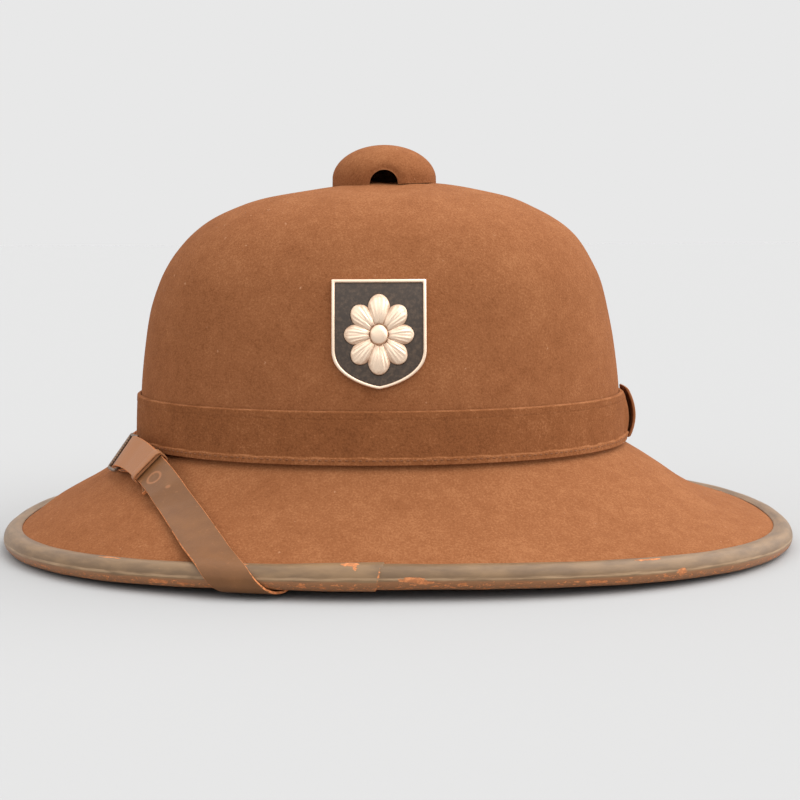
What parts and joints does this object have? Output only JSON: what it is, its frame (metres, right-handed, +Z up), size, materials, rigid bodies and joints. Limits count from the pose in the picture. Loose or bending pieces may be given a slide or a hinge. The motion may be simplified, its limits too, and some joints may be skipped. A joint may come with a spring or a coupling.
{
  "type": "pith helmet",
  "caption": "Felt sun helmet with a domed crown, ventilator button, wide sloping brim bound in leather, shield badge and chin strap buckled over the front.",
  "frame": {"origin": "on the surface the helmet stands on, under the middle of the brim", "axes": "+Z up, the wearer faces -X, +Y is the wearer's right"},
  "size_m": [0.3358, 0.2738, 0.1679],
  "materials": {
    "felt": "short napped wool felt",
    "felt_band": "short napped wool felt",
    "painted_leather": "painted, worn and chipped",
    "strap_leather": "smooth, raw edges",
    "lacquered_steel": "worn lacquer",
    "worn_silver": "worn silver over a dark enamelled ground"
  },
  "bodies": {
    "root": {"felt_shell": "felt", "hat_band": "felt_band", "brim_binding": "painted_leather", "vent_button": "felt", "rear_tab": "felt_band", "badge": "worn_silver", "strap_left": "strap_leather", "strap_right": "strap_leather", "strap_keeper": "strap_leather", "buckle": "lacquered_steel"}
  },
  "joints": []
}
